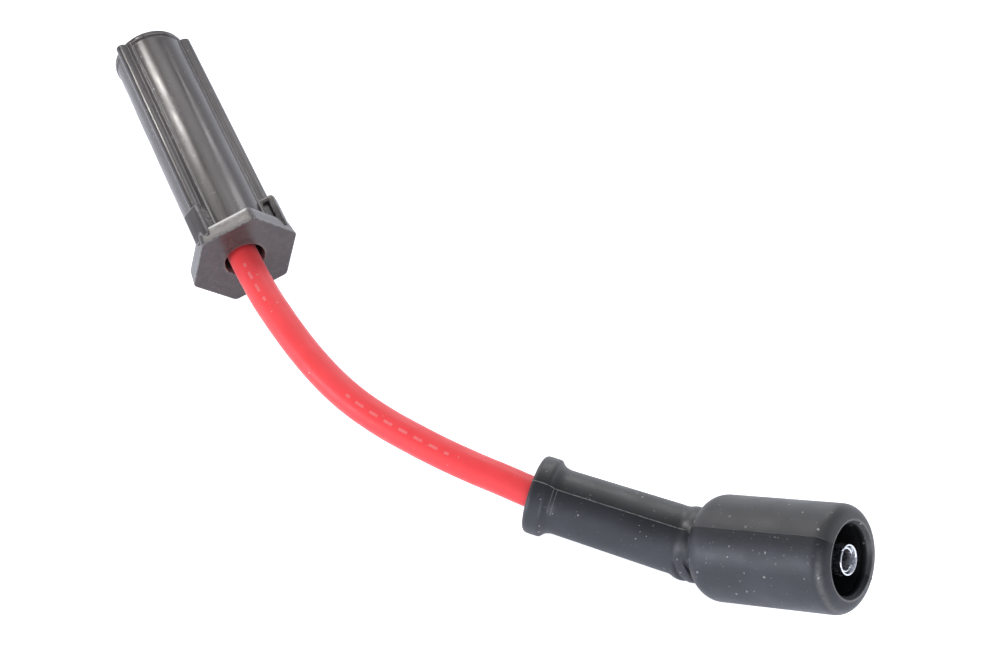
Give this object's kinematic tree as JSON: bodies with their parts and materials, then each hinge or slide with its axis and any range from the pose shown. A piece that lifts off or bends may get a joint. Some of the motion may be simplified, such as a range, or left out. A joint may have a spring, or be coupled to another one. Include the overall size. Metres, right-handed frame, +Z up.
{
  "type": "spark plug wire",
  "caption": "Ignition lead lying in a curve: hard plug sleeve with a hexagonal collar and rails, silicone covered wire, and a bent rubber boot with a terminal in its cup.",
  "frame": {"origin": "centre of the lead's bounding box, at the height of the surface that it lies on", "axes": "+X along the plug sleeve, from the plug towards the wire; +Y towards the coil boot's side; +Z up"},
  "size_m": [0.2414, 0.1219, 0.0408],
  "materials": {
    "sleeve": "satin warm grey moulded plastic, scuffed",
    "liner": "matte black silicone",
    "steel": "bright rolled sheet",
    "boot": "matte charcoal rubber, slightly dusty",
    "jacket": "matte red silicone",
    "core": "graphite coated fibre"
  },
  "bodies": {
    "root": {"plug_sleeve": "sleeve", "plug_liner": "liner", "plug_terminal": "steel", "plug_contact_spring": "steel", "coil_boot": "boot", "coil_terminal": "steel", "coil_contact_spring": "steel", "wire_jacket": "jacket", "wire_core": "core"}
  },
  "joints": []
}
